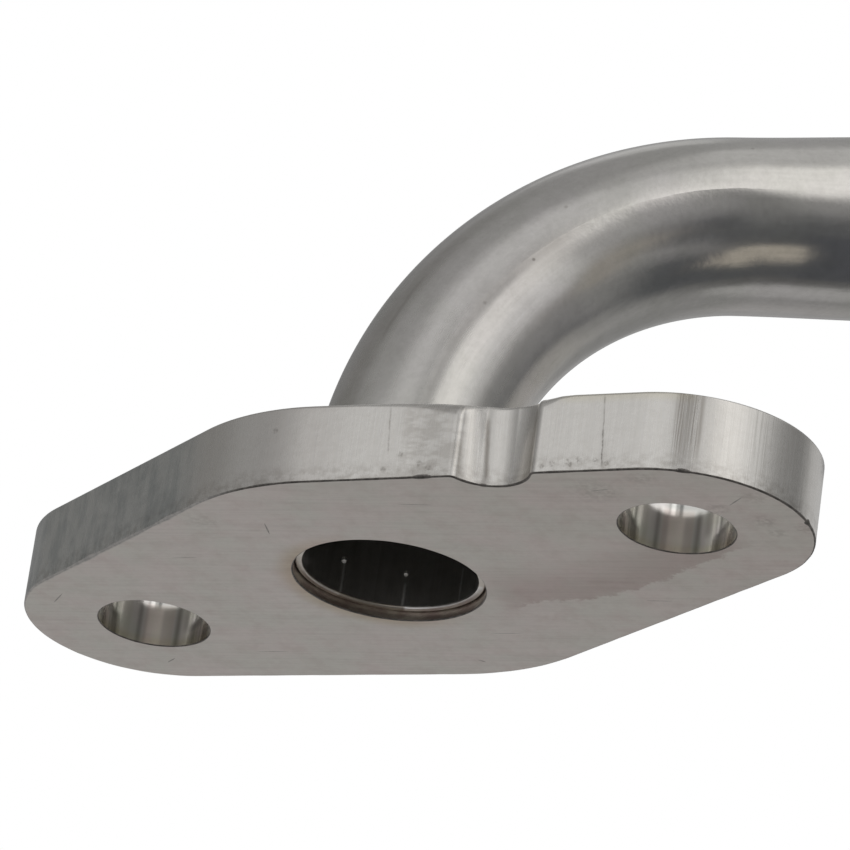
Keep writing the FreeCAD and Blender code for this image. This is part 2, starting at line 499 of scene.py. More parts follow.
def make_tube(materials):
    builder = Builder()
    count = TUBE_SIDES
    angles = -circle(count)
    around = np.arange(count + 1) * TUBE_RADIUS * 2 * math.pi / count
    foot = RECESS - BEND_START
    end = BEND_LENGTH + END_RUN

    def rings(stops, inset, sign):
        made = []
        for stop in stops:
            place, normal, _ = tube_ring(stop, inset, angles)
            made.append(builder.ring(place, normal * sign))
        return made

    def rim(at, towards, inset, sign, sizes):
        """Round of a cut end, from its flat face to the wall. towards is 1 at the far end."""
        place, normal, direction = tube_ring(at, 0.0, angles)
        made = []
        for turn in np.linspace(0, math.pi / 2, ROUND_BANDS + 1)[:-1]:
            back = towards * sizes * (1 - math.cos(turn))
            offset = inset + sign * sizes * (1 - math.sin(turn))
            facing = normal * sign * math.sin(turn) + direction * towards * math.cos(turn)
            moved = place - direction * back[:, None] - normal * offset[:, None]
            made.append(builder.ring(moved, facing))
        return made

    even = np.full(count, TUBE_BREAK)
    far = np.full(count, FAR_BREAK)
    uneven = end_ring_inset(angles, TUBE_BREAK)
    straight = [foot + 2 * TUBE_BREAK, foot + 2.0, foot + 5.0, 0.0]
    bend = np.linspace(0, BEND_LENGTH, BEND_RINGS)[1:].tolist()
    run = np.linspace(BEND_LENGTH, end - FAR_BREAK, RUN_RINGS)[1:].tolist()
    stops = straight + bend + run
    outer = rim(foot, -1, 0.0, 1, even) + rings(stops, 0.0, 1) + rim(end, 1, 0.0, 1, far)[::-1]
    outer_travel = [foot] * ROUND_BANDS + stops + [end] * ROUND_BANDS
    for k in range(len(outer) - 1):
        builder.band(outer[k], outer[k + 1], around, outer_travel[k], outer_travel[k + 1], OUTSIDE)
    thin = straight + bend[1::2] + run[1::3] + [run[-1]]
    inner = rim(foot, -1, WALL, -1, uneven) + rings(thin, WALL, -1) + rim(end, 1, WALL, -1, even)[::-1]
    inner_travel = [foot] * ROUND_BANDS + thin + [end] * ROUND_BANDS
    last = len(inner) - 1
    for k in range(last):
        kind = BORE if ROUND_BANDS <= k < last - ROUND_BANDS else CUT_END
        builder.band(inner[k + 1], inner[k], around, inner_travel[k + 1], inner_travel[k], kind)
    builder.band(inner[0], outer[0], around, foot, foot, CUT_END)
    builder.band(outer[-1], inner[-1], around, end, end, CUT_END)
    for azimuth, height, radius in DROPLETS:
        droplet(builder, math.radians(azimuth), height, radius)
    return builder.build("tube_skin", materials)


def droplet(builder, azimuth, height, radius):
    """Small frozen drop of filler on the wall of the bore, a little longer upwards."""
    out = np.array([math.cos(azimuth), math.sin(azimuth), 0.0])
    side = np.cross(UP, out)
    foot = out * (TUBE_RADIUS - WALL) + UP * height
    count = DROPLET_SIDES
    turns = circle(count)
    rings = []
    for lift in np.linspace(0.05, math.pi / 2 - 0.15, 5):
        ring = np.cos(turns)[:, None] * side + np.sin(turns)[:, None] * UP * DROPLET_LONGER
        normal = ring * math.cos(lift) - out * math.sin(lift)
        rings.append(builder.ring(foot + normal * radius, normal))
    around = np.full(count + 1, CLEAN_TRAVEL)
    for lower, upper in zip(rings, rings[1:]):
        builder.band(upper, lower, around, 0.0, 0.0, CUT_END)
    builder.faces.append(tuple(rings[-1]))
    builder.kinds.append(CUT_END)
    builder.uvs.extend([(CLEAN_TRAVEL, 0.0)] * count)


# Weld


RIPPLES, RIPPLE_DEPTH, RIPPLE_LAG = 64, 0.16, 0.35
WELD_SIDES, WELD_ROWS = 720, 16

# Width of the bead on its unrolled surface, its gap to the tube below and how far its top is sunk in
BEAD_SPAN, WELD_GAP, WELD_SUNK = 4.0, 0.02, 0.1


def make_weld(materials):
    """Fillet ring with the overlapping ripples of hand-fed filler."""
    builder = Builder()
    count = WELD_SIDES
    angles = circle(count)
    round_ray = rays(angles)
    crown_radius = WELD_LEG**2 / (4 * WELD_CROWN) + WELD_CROWN / 2
    diagonal = np.array([1, 1]) / math.sqrt(2)
    toe = np.array([TUBE_RADIUS + WELD_LEG, PLATE])
    crown = toe + np.array([-WELD_LEG, WELD_LEG]) / 2 + diagonal * WELD_CROWN
    centre = crown - diagonal * crown_radius
    toe_angle = math.atan2(*(toe - centre)[::-1])
    top_angle = math.acos((TUBE_RADIUS - WELD_SUNK - centre[0]) / crown_radius)
    rings = []
    for share in np.linspace(0, 1, WELD_ROWS + 1):
        turn = toe_angle + (top_angle - toe_angle) * share
        ray = np.array([math.cos(turn), math.sin(turn)])
        swell = math.sin(math.pi * share)
        lag = RIPPLE_LAG * (1 - (2 * share - 1) ** 2)
        phase = RIPPLES * angles / (2 * math.pi) + lag
        dip = RIPPLE_DEPTH * swell * (1 - np.sin(math.pi * (phase % 1.0)) ** 0.6)
        radius = crown_radius - dip
        out = centre[0] + ray[0] * radius
        rings.append(lifted(round_ray * out[:, None], centre[1] + ray[1] * radius))
    grid = np.array(rings)
    made = [builder.ring(points, normals) for points, normals in zip(grid, facings(grid))]
    travel = np.arange(count + 1) * 2 * math.pi * TUBE_RADIUS / count
    row = BEAD_SPAN / WELD_ROWS
    for k in range(WELD_ROWS):
        builder.band(made[k], made[k + 1], travel, k * row, (k + 1) * row, 0)

    # Flat underside, and the back beside the tube
    root = lifted(round_ray * (TUBE_RADIUS + WELD_GAP), PLATE)
    downwards = np.tile(-UP, (count, 1))
    inwards = -lifted(round_ray, 0.0)
    under = builder.ring(root, downwards)
    toe_under = builder.ring(grid[0], downwards)
    builder.band(under, toe_under, travel, 0.0, BEAD_SPAN, 0)
    back_low = builder.ring(root, inwards)
    back_top = builder.ring(grid[-1], inwards)
    builder.band(back_top, back_low, travel, BEAD_SPAN, 0.0, 0)
    return builder.build("weld_ripples", materials)


# Materials


class Nodes:
    """Short names for the nodes of a material or world. Lengths in noises and masks are millimetres."""

    def __init__(self, name, family="materials"):
        self.owner = getattr(bpy.data, family).new(name)
        self.owner.use_nodes = True
        self.tree = self.owner.node_tree
        self.shader = self.tree.nodes.get("Principled BSDF")
        self.places = self.add("ShaderNodeTexCoord")

    def add(self, kind, **settings):
        node = self.tree.nodes.new(kind)
        for key, value in settings.items():
            setattr(node, key, value)
        return node

    def fill(self, node, values):
        """Sets inputs of a node, or links them to other nodes' outputs. A grey is one number."""
        for key, value in values.items():
            socket = node.inputs[key]
            if isinstance(value, bpy.types.NodeSocket):
                self.tree.links.new(value, socket)
            elif socket.type == "RGBA":
                socket.default_value = (*np.broadcast_to(value, 3), 1.0)
            else:
                socket.default_value = value
        return node

    def math(self, operation, *values):
        node = self.add("ShaderNodeMath", operation=operation)
        return self.fill(node, dict(enumerate(values))).outputs[0]

    def plus(self, a, b):
        return self.math("ADD", a, b)

    def minus(self, a, b):
        return self.math("SUBTRACT", a, b)

    def larger(self, a, b):
        return self.math("MAXIMUM", a, b)

    def times(self, *values):
        product = values[0]
        for value in values[1:]:
            product = self.math("MULTIPLY", product, value)
        return product

    def distance(self, a, b):
        return self.math("SQRT", self.plus(self.times(a, a), self.times(b, b)))

    def sway(self, noise, size):
        """A noise moved to lie about 0, times size."""
        return self.times(self.minus(noise, 0.5), size)

    def mapping(self, vector, scale, turn):
        node = self.add("ShaderNodeMapping")
        values = {"Vector": vector, "Scale": scale, "Rotation": (0, 0, turn)}
        return self.fill(node, values).outputs[0]

    def body(self, scale=None, turn=0.0):
        """Place on the object in mm, turned about Z and then scaled. An even scale is one number."""
        place = self.mapping(self.places.outputs["Object"], (1 / MM,) * 3, turn)
        return place if scale is None else self.mapping(place, np.broadcast_to(scale, 3).tolist(), 0.0)

    def grain(self, along=1.0, up=1.0, slant=0.0):
        """Place on the unrolled surface in mm, scaled, with its lines leaning by slant."""
        return self.mapping(self.places.outputs["UV"], (along, up, 1), slant)

    def parts(self, vector):
        return self.fill(self.add("ShaderNodeSeparateXYZ"), {0: vector}).outputs[:3]

    def noise(self, vector, detail=3.0, rough=0.6):
        node = self.add("ShaderNodeTexNoise")
        self.fill(node, {"Vector": vector, "Scale": 1.0, "Detail": detail, "Roughness": rough})
        return node.outputs["Fac"]

    def remap(self, value, low, high, start=0.0, end=1.0, kind="LINEAR"):
        """Goes from start, where value is low, to end, where it is high, and stays level outside them."""
        node = self.add("ShaderNodeMapRange", interpolation_type=kind)
        values = {"Value": value, "From Min": low, "From Max": high, "To Min": start, "To Max": end}
        return self.fill(node, values).outputs[0]

    def ease(self, value, low, high, start=0.0, end=1.0):
        return self.remap(value, low, high, start, end, "SMOOTHSTEP")

    def fall(self, value, low, high):
        return self.ease(value, low, high, 1.0, 0.0)

    def between(self, value, low, high, soft):
        """1 from low to high, and 0 farther than soft outside them."""
        middle, half = (low + high) / 2, (high - low) / 2
        return self.fall(self.math("ABSOLUTE", self.minus(value, middle)), half, half + soft)

    def line(self, value, place, half):
        """1 on a place and 0 half a width away from it."""
        return self.fall(self.math("ABSOLUTE", self.minus(value, place)), 0.0, half)

    def spots(self, along, up, places, radius):
        """Small round spots at places on the unrolled surface."""
        total = 0.0
        for x, y in places:
            away = self.distance(self.minus(along, x), self.minus(up, y))
            total = self.larger(total, self.fall(away, radius * 0.4, radius))
        return total

    def mix(self, share, a, b, blend="MIX"):
        """Colour a where share is 0 and b where it is 1. Inputs 6 and 7 and output 2 are its colours."""
        node = self.add("ShaderNodeMix", data_type="RGBA", blend_type=blend)
        return self.fill(node, {"Factor": share, 6: a, 7: b}).outputs[2]

    def tint(self, colour, *tints):
        """Colour times each tint's factor where its share is 1, untouched where it is 0."""
        for share, factor in tints:
            colour = self.mix(share, colour, factor, "MULTIPLY")
        return colour

    def relief(self, *layers):
        """Bumps on top of one another, each a height and its depth in mm."""
        below = {}
        for height, depth in layers:
            node = self.add("ShaderNodeBump")
            self.fill(node, {"Strength": 1.0, "Distance": depth * MM, "Height": height, **below})
            below = {"Normal": node.outputs[0]}
        return node.outputs[0]

    def finish(self, colour, roughness, *layers):
        """Bare metal of a colour and roughness, with the layers of its relief."""
        self.fill(self.shader, {"Metallic": 1.0, "Base Color": colour, "Roughness": roughness})
        if layers:
            self.fill(self.shader, {"Normal": self.relief(*layers)})
        return self.owner


# Smudges on the mating face: place, radius and strength
SMUDGES = (
    (44.0, 1.6, 1.6, 1.0), (41.5, -2.5, 1.5, 0.9), (32.5, -9.9, 3.2, 0.7), (46.2, -3.3, 1.8, 0.8),
    (43.8, 4.2, 1.4, 0.9), (46.9, 4.4, 1.5, 0.9), (-9.1, -18.6, 2.4, 0.5), (38.3, -10.8, 2.2, 0.6),
)

# Upper border of the gasket stain: its stretch of x, and its height over shares of that stretch
STAIN_FROM, STAIN_TO, STAIN_HEIGHT = 4.0, 40.0, 20.0
STAIN_BORDER = (
    (0.0, 0.53), (0.08, 0.515), (0.21, 0.485), (0.36, 0.545), (0.53, 0.53), (0.73, 0.425), (1.0, 0.30),
)


def ground_metal():
    """Mating face: fine grinding lines, pinkish and greenish clouds, a gasket stain beside the port."""
    n = Nodes("ground_steel")
    x, y, z = n.parts(n.body())
    mating = n.remap(z, 4.0, 3.0)
    lines = n.noise(n.body((0.06, 2.4, 1), turn=-0.37))
    clouds = n.noise(n.body(0.12), 4.0)
    blots = n.noise(n.body(0.42), 4.0, 0.62)
    grit = n.noise(n.body(1.6))
    shade = n.tint(
        n.mix(n.remap(clouds, 0.40, 0.60), (0.725, 0.672, 0.648), (0.70, 0.68, 0.642)),
        (n.remap(blots, 0.46, 0.68), (0.94, 0.918, 0.915)),
        (n.remap(grit, 0.35, 0.7), 0.96),
        (n.remap(lines, 0.45, 0.75), 0.95),
        (n.ease(x, -10.0, 45.0), (0.95, 0.935, 0.925)),
    )

    # Gasket stain, which fades towards -Y from its upper border
    border = n.add("ShaderNodeFloatCurve")
    n.fill(border, {"Value": n.remap(x, STAIN_FROM, STAIN_TO)})
    curve = border.mapping.curves[0]
    for place, level in STAIN_BORDER[1:-1]:
        curve.points.new(place, level)
    curve.points[0].location = STAIN_BORDER[0]
    curve.points[-1].location = STAIN_BORDER[-1]
    border.mapping.update()
    below = n.minus(n.times(border.outputs[0], STAIN_HEIGHT), y)
    below = n.plus(n.plus(below, n.sway(grit, 1.6)), n.sway(blots, 2.6))
    stain = n.times(
        n.ease(below, -0.1, 0.5),
        n.fall(below, 1.5, 11.0),
        n.between(x, 11.0, 36.0, 5.0),
        mating,
    )

    # Heat tint round the port, on its side towards the shorter ear
    heat = n.times(n.fall(n.distance(x, y), 9.7, 12.0), n.remap(x, 3.0, -5.0))
    shade = n.tint(shade, (stain, (0.82, 0.765, 0.765)), (heat, (0.86, 0.78, 0.68)))
    for place_x, place_y, radius, strength in SMUDGES:
        near = n.distance(n.minus(x, place_x), n.minus(y, place_y))
        smudge = n.times(n.fall(near, radius * 0.3, radius), n.remap(grit, 0.40, 0.58), strength, mating)
        shade = n.tint(shade, (smudge, (0.84, 0.83, 0.825)))
    return n.finish(shade, n.remap(lines, 0.3, 0.7, 0.38, 0.46), (lines, 0.003), (grit, 0.012))


# Stretches of the outer wall, by travel along its outline
LEFT_WALL, NOTCH_WALL, EAR_WALL = (104.0, 133.0), (164.5, 176.0), (191.5, 206.0)

# Where the cracks in the wall, and the score in its notch, meet the mating edge, and how they lean
FIRST_CRACK, SECOND_CRACK, SCORE, CRACK_LEAN = 160.75, 184.64, 171.05, 0.077

# Pits in the wall: travel along the outline and height
PITS = (
    (181.0, 1.1), (179.5, 0.93), (182.2, 1.24), (183.9, 1.05), (178.5, 0.7), (161.85, 2.55),
    (163.9, 1.5), (164.9, 0.95), (148.2, 5.8), (160.3, 1.0), (185.1, 0.8), (181.4, 0.75),
)
PIT_RADIUS = 0.42


def cut_metal():
    """Sawn and ground outer wall, with its streaks, cracks, pits and dirt."""
    n = Nodes("cut_edge_steel")
    along, up, _ = n.parts(n.grain())
    streaks = n.noise(n.grain(2.6, 0.05, 0.02), 4.0)
    fine = n.noise(n.grain(8.0, 0.10))
    drift = n.noise(n.grain(0.35, 0.9))
    blots = n.noise(n.grain(0.9, 1.1), 4.0, 0.65)
    cloudy = n.noise(n.grain(0.5, 0.16, 0.05), 4.0, 0.65)
    crumbs = n.noise(n.grain(3.2, 3.2), 2.0)

    # Painted shade along the wall: its left stretch is darker and a little bluer, and a stretch before
    # the notch, the notch and the stretch at the longer ear are darker too. Its left stretch is also
    # cloudy and has fainter streaks.
    left = n.between(along, *LEFT_WALL, 7.0)
    streaks = n.times(streaks, n.remap(left, 0.0, 1.0, 1.0, 0.45))
    shade = n.tint(
        (0.735, 0.715, 0.683),
        (left, (0.88, 0.915, 0.93)),
        (n.times(left, n.remap(cloudy, 0.44, 0.62)), (0.78, 0.80, 0.81)),
        (n.times(n.between(along, 120.5, 131.0, 3.5), n.remap(drift, 0.40, 0.62)), (0.90, 0.905, 0.91)),
        (n.between(along, 148.5, 152.0, 6.0), (0.87, 0.86, 0.86)),
        (n.between(along, *NOTCH_WALL, 2.0), 0.90),
        (n.between(along, *EAR_WALL, 1.5), 0.93),
        (n.remap(blots, 0.45, 0.75), (0.945, 0.94, 0.935)),
    )

    # Bundle of dark scores near the longer ear, and lighter ones on its round
    bundle = n.times(n.between(along, 191.5, 193.6, 0.5), n.remap(up, 0.6, 3.2, 0.3, 1.0))
    ear = n.between(along, 199.5, 206.0, 2.0)
    shade = n.tint(
        shade,
        (n.times(bundle, n.remap(fine, 0.36, 0.60)), (0.62, 0.60, 0.58)),
        (n.times(ear, n.remap(fine, 0.44, 0.64)), (0.80, 0.80, 0.79)),
    )

    # Two upright cracks and the score in the notch, which wander a little
    crack = n.plus(n.plus(along, n.sway(drift, 0.22)), n.times(up, CRACK_LEAN))
    depth = n.remap(blots, 0.35, 0.6, 0.35, 1.0)
    second = n.times(n.line(crack, SECOND_CRACK, 0.13), n.between(up, 0.9, 7.6, 0.6), depth)
    second = n.times(second, n.ease(up, 5.4, 3.6, 0.6, 1.0))
    beside = n.times(n.line(crack, SECOND_CRACK + 0.06, 0.5), n.ease(up, 4.8, 3.2), depth)
    first = n.times(n.line(crack, FIRST_CRACK, 0.15), n.between(up, 3.3, 7.2, 0.8), depth)
    score = n.times(n.line(crack, SCORE, 0.42), n.between(up, 1.2, 6.2, 1.2))
    shade = n.tint(
        shade,
        (second, (0.36, 0.35, 0.34)),
        (beside, (0.88, 0.875, 0.87)),
        (first, (0.66, 0.65, 0.64)),
        (score, (0.62, 0.60, 0.58)),
    )

    # Dirt and pits towards the mating edge, and a straw tint under the upper edge
    stained = n.times(n.between(along, 162.5, 167.6, 1.5), n.remap(drift, 0.42, 0.58))
    pitted = n.times(n.spots(along, up, PITS, PIT_RADIUS), n.remap(crumbs, 0.42, 0.6))
    straw = n.times(n.ease(up, 6.9, 7.9), n.between(along, 180.5, 192.0, 2.0))
    shade = n.tint(
        shade,
        (n.times(n.fall(up, 0.5, 2.4), n.remap(blots, 0.4, 0.62)), (0.80, 0.79, 0.78)),
        (stained, (0.82, 0.81, 0.80)),
        (pitted, (0.66, 0.65, 0.64)),
        (straw, (0.985, 0.97, 0.90)),
    )
    rough = n.remap(fine, 0.3, 0.7, 0.24, 0.34)
    return n.finish(shade, rough, (fine, 0.0008), (blots, 0.012), (streaks, 0.003))


def edge_metal():
    """The narrow broken mating edge, dark but for the worn stretch, where it is light."""
    n = Nodes("edge_steel")
    along, _, _ = n.parts(n.grain())
    worn = n.between(along, 60.0, 138.0, 8.0)
    blots = n.remap(n.noise(n.body(1.5)), 0.4, 0.6)
    clean = n.mix(blots, (0.56, 0.545, 0.53), (0.68, 0.655, 0.63))
    darker_edge = n.mix(blots, (0.16, 0.15, 0.14), (0.27, 0.25, 0.235))
    return n.finish(n.mix(worn, darker_edge, clean), 0.45)


def drilled_metal():
    """Bolt holes: nearly polished by the drill, with faint rings and tints, and painted shade and
    reflections by height and round the wall.
    """
    n = Nodes("drilled_steel")
    rings = n.noise(n.grain(0.15, 4.0), 2.0, 0.5)
    tints = n.noise(n.grain(0.35, 0.35), 2.0, 0.5)
    along, up, _ = n.parts(n.grain())
    away = n.minus(1.0, n.between(along, 3.2, 6.6, 1.2))
    lower, middle = n.ease(up, 4.9, 4.1), n.between(up, 2.4, 4.6, 1.2)
    # Painted shade: a darker band just below half the wall's height, darker still above it but for one
    # stretch round the wall, and two darker upright stretches at mid height.
    shade = n.tint(
        n.mix(n.remap(tints, 0.42, 0.58), (0.90, 0.875, 0.852), (0.875, 0.87, 0.825)),
        (n.ease(up, 1.1, 0.4), (0.97, 0.95, 0.88)),
        (n.times(away, n.ease(up, 4.3, 4.9)), (0.72, 0.72, 0.725)),
        (n.times(lower, n.remap(up, 1.5, 3.2)), (0.83, 0.82, 0.81)),
        (n.times(middle, n.between(along, 26.3, 28.2, 0.6)), (0.70, 0.695, 0.69)),
        (n.times(middle, n.between(along, 16.6, 18.6, 0.6)), (0.74, 0.74, 0.73)),
    )

    # Painted reflections and shade: upright darker bands on the lower part of the wall
    for band, factor in (
        (n.ease(along, 17.6, 16.6), (0.84, 0.84, 0.83)),
        (n.between(along, 17.9, 20.0, 0.5), (0.88, 0.88, 0.84)),
        (n.line(along, 21.23, 0.45), 0.64),
        (n.between(along, 21.9, 24.6, 0.3), (1.0, 0.945, 0.93)),
        (n.line(along, 25.28, 0.55), (0.60, 0.60, 0.59)),
        (n.ease(along, 27.4, 28.6), (0.80, 0.80, 0.79)),
    ):
        shade = n.tint(shade, (n.times(lower, band), factor))

    # The wall is duller at both ends of the half that faces the camera
    ends = n.larger(n.ease(along, 16.8, 15.0), n.ease(along, 29.2, 31.0))
    rough = n.plus(n.remap(rings, 0.3, 0.7, 0.08, 0.12), n.times(ends, 0.45))
    return n.finish(shade, rough, (rings, 0.0005))


def port_metal():
    """Wall of the port hole beside the tube's end, browned by the welding heat."""
    n = Nodes("port_wall_steel")
    patches = n.remap(n.noise(n.grain(0.45, 1.2)), 0.4, 0.6)
    return n.finish(n.mix(patches, (0.43, 0.34, 0.30), (0.62, 0.55, 0.47)), 0.40)


def scratch_metal():
    n = Nodes("scratch_steel")
    patches = n.remap(n.noise(n.body(1.2), 2.0), 0.4, 0.6)
    return n.finish(n.mix(patches, (0.33, 0.31, 0.30), (0.44, 0.42, 0.40)), 0.5)


# Pits in the tube's outside, the dark one and the faint ones: place round the tube and along it
DARK_PIT = ((29.78, 25.83),)
FAINT_PITS = ((26.79, 32.25), (29.4, 18.7), (24.32, 52.0))

# The crease of the bend: its place round the tube at the bend's start, and how it leans
CREASE, CREASE_LEAN = 28.4, 0.035


def tube_metal():
    """Drawn tube: faint lines along it, clouds and a few pits. The bend leaves it slightly uneven."""
    n = Nodes("tube_steel")
    along, up, _ = n.parts(n.grain())
    clouds = n.noise(n.body(0.09), 4.0, 0.55)
    speckle = n.noise(n.body(1.7))
    drawn = n.noise(n.grain(1.6, 0.09), 4.0)
    mottle = n.noise(n.body(0.55), 4.0)
    uneven = n.noise(n.grain(0.16, 0.05), 2.0, 0.5)

    # Crease that the parting of the bending die leaves on the side of the bend
    below = n.minus(along, n.plus(n.times(up, CREASE_LEAN), CREASE))
    below = n.plus(below, n.sway(mottle, 0.3))
    left = n.remap(below, 0.0, 4.2, 1.0, 0.0)
    dip = n.times(n.minus(1.0, n.times(left, left)), n.fall(below, 4.0, 12.0))
    dip = n.times(dip, n.ease(up, 22.0, 31.0), n.fall(up, 47.0, 57.0))
    groove_and_painted_shade = n.times(n.line(below, 0.35, 0.9), n.fall(up, 28.0, 36.0))
    crease = n.minus(1.0, n.plus(dip, n.times(groove_and_painted_shade, 0.07)))

    # Painted shade in a band that leads up to the crease, below its line, and a scuff on the outer side
    # near the plate
    painted_crease_shade = n.times(n.line(below, 0.9, 2.6), n.remap(up, 12.0, 27.0), n.fall(up, 28.0, 34.0))
    scuff = n.line(n.plus(along, n.sway(mottle, 0.6)), 21.4, 0.45)
    scuff = n.times(scuff, n.between(up, 13.0, 17.5, 2.5))
    shade = n.tint(
        n.mix(n.remap(clouds, 0.4, 0.6), (0.635, 0.622, 0.592), (0.67, 0.648, 0.63)),
        (n.remap(drawn, 0.45, 0.75), (0.96, 0.96, 0.955)),
        (n.remap(mottle, 0.42, 0.70), (0.93, 0.928, 0.925)),
        (n.remap(speckle, 0.42, 0.72), 0.95),
        (n.spots(along, up, DARK_PIT, 0.24), (0.58, 0.57, 0.56)),
        (n.spots(along, up, FAINT_PITS, 0.26), (0.82, 0.81, 0.80)),
        # Painted shade along the crease's groove and in the band beside it
        (groove_and_painted_shade, (0.84, 0.835, 0.83)),
        (painted_crease_shade, (0.77, 0.765, 0.76)),
        (scuff, (0.86, 0.855, 0.85)),
    )
    rough = n.plus(n.remap(drawn, 0.3, 0.7, -0.03, 0.03), n.ease(up, 14.0, 40.0, 0.26, 0.19))
    layers = ((drawn, 0.003), (speckle, 0.0035), (mottle, 0.009), (crease, 0.25), (uneven, 0.12))
    return n.finish(shade, rough, *layers)


# Run marks in the bore: place round it, lower and upper end
RUNS = ((3.95, -7.9, -4.8), (56.7, -8.2, -5.6), (49.5, -8.0, -4.6))


def bore_metal():
    """Inside of the tube: sooty, with run marks below the droplets."""
    n = Nodes("bore_steel")
    along, up, _ = n.parts(n.grain())
    soot = n.noise(n.grain(0.8, 0.1))
    shade = n.mix(n.remap(soot, 0.35, 0.65), (0.65, 0.635, 0.61), (0.74, 0.725, 0.70))
    runs = 0.0
    for place, low, high in RUNS:
        runs = n.larger(runs, n.times(n.line(along, place, 0.22), n.between(up, low, high, 0.4)))
    shade = n.mix(n.times(runs, 0.8), shade, (0.95, 0.94, 0.92))
    return n.finish(shade, n.remap(runs, 0.0, 1.0, 0.28, 0.42))


def end_metal():
    """Cut ring of the tube, clean on one side and browned on the other."""
    n = Nodes("cut_end_steel")
    along, _, _ = n.parts(n.grain())
    fine = n.noise(n.grain(1.2, 1.2))
    brown = n.minus(1.0, n.between(along, 44.0, 56.4, 0.3))
    browner = n.larger(n.remap(along, 4.2, 3.8), n.remap(along, 56.3, 56.6))
    shade = n.tint(
        n.mix(n.remap(fine, 0.35, 0.65), (0.78, 0.76, 0.74), (0.88, 0.86, 0.84)),
        (brown, (0.80, 0.765, 0.72)),
        (browner, (0.62, 0.60, 0.57)),
    )
    return n.finish(shade, 0.3)


def weld_metal():
    """Filler with straw to blue-brown heat tint in bands from the middle to the toes."""
    n = Nodes("weld_steel")
    _, up, _ = n.parts(n.grain())
    patches = n.noise(n.grain(0.8, 0.8))
    level = n.plus(up, n.sway(patches, 1.6))
    shade = n.mix(n.between(level, 1.4, 2.6, 1.2), (0.36, 0.27, 0.20), (0.56, 0.54, 0.50))
    return n.finish(shade, n.remap(patches, 0.3, 0.7, 0.24, 0.36))


# Pieces

flange = make_flange([
    ground_metal(), cut_metal(), edge_metal(), drilled_metal(), port_metal(), scratch_metal(),
])
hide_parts("flange")
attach(flange, "root")

tube = make_tube([tube_metal(), bore_metal(), end_metal()])
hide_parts("tube")
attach(tube, "root")

weld = make_weld([weld_metal()])
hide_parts("weld_bead")
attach(weld, "root")


# Studio

# Soft patches of light and shade on the cloth of the tent round the object: azimuth and elevation
# of the middle, half sizes and softness of the borders each way, all in degrees, then the level of
# light and its warmth. Later patches cover earlier ones. A scratch program fitted the tent's level
# and the patches to the brightness of the photo. Seven patches were then changed: under, left_dark,
# post, gap, low_left, table and spot_a. The warmths were given one by one.
TENT_LEVEL = 0.355
PATCHES = {
    "under": (24.7, -93.6, 180.0, 38.0, 2.0, 42.0, 0.13, 0.0),
    "left_dark": (-167.1, 33.3, 12.5, 15.5, 24.7, 30.2, 0.228, 0.1),
    "glow": (-77.0, 7.7, 14.0, 14.9, 29.6, 12.8, 0.847, 0.0),
    "upper_glow": (-56.3, 46.4, 15.0, 8.1, 33.7, 11.0, 0.629, 0.0),
    "top": (25.6, 81.9, 55.0, 9.5, 56.2, 17.6, 0.602, 0.0),
    "key_low": (-40.0, 14.2, 2.9, 6.7, 3.4, 4.9, 1.382, 0.0),
    "post": (-55.0, 16.5, 2.2, 16.0, 2.6, 6.5, 0.30, 0.0),
    "softbox": (-12.8, 37.1, 15.8, 17.2, 9.7, 15.2, 1.149, 0.1),
    "softbox_side": (11.7, 26.2, 7.0, 16.6, 20.0, 16.4, 0.870, 0.0),
    "gap": (-31.0, -3.5, 2.8, 13.0, 9.5, 14.0, 0.215, 0.0),
    "right_wall": (41.2, -0.9, 12.8, 23.5, 29.6, 14.5, 0.270, 0.0),
    "right_spot": (55.0, 28.9, 2.0, 3.2, 5.8, 5.2, 0.135, 0.0),
    "right_light": (92.1, 17.9, 15.1, 7.4, 18.8, 14.4, 0.557, 0.0),
    "right_mid": (71.2, 4.4, 12.5, 7.5, 6.0, 10.4, 0.405, 0.2),
    "right_edge": (105.3, -4.9, 8.6, 11.0, 10.8, 15.0, 0.291, 0.0),
    "back_window": (140.7, 57.6, 5.8, 6.5, 8.4, 5.8, 0.595, 0.0),
    "back_dark": (160.0, 29.5, 13.9, 9.6, 6.3, 13.0, 0.243, 0.0),
    "low_left": (-10.5, -28.6, 7.4, 12.0, 10.8, 17.9, 0.112, -0.3),
    "table": (6.7, -9.9, 9.5, 4.1, 7.1, 5.2, 0.330, 0.5),
    "low_dark": (40.3, -52.4, 16.8, 17.8, 17.2, 16.7, 0.101, -0.4),
    "spot_a": (12.5, -52.3, 15.5, 5.2, 9.0, 4.2, 0.450, 0.7),
    "spot_b": (96.6, -46.9, 7.4, 5.5, 9.7, 11.7, 0.440, 0.0),
    "low_right": (139.6, -37.0, 11.6, 25.0, 22.7, 16.0, 0.446, 0.1),
}
TENT_RADIUS, TENT_SIDES, TENT_RINGS = 1.5, 240, 120


def tent_light(direction):
    """Red, green and blue light that comes from unit directions."""
    azimuth = np.degrees(np.arctan2(direction[:, 1], direction[:, 0]))
    elevation = np.degrees(np.arcsin(np.clip(direction[:, 2], -1, 1)))
    light = np.full((len(direction), 3), TENT_LEVEL)
    for az, el, half_az, half_el, soft_az, soft_el, level, warmth in PATCHES.values():
        sideways = np.abs((azimuth - az + 180) % 360 - 180)
        mask = smooth_step(1 - (sideways - half_az) / soft_az)
        mask = mask * smooth_step(1 - (np.abs(elevation - el) - half_el) / soft_el)
        colour = level * np.array([1 + 0.12 * warmth, 1.0, 1 - 0.18 * warmth])
        light = light + (colour - light) * mask[:, None]
    return light


def glowing(name):
    """Nodes of a studio material that only gives off light, and the node that holds its colour."""
    n = Nodes(name)
    n.tree.nodes.remove(n.shader)
    glow = n.add("ShaderNodeEmission")
    n.fill(n.tree.nodes["Material Output"], {"Surface": glow.outputs[0]})
    n.owner.cycles.emission_sampling = "NONE"
    return n, glow


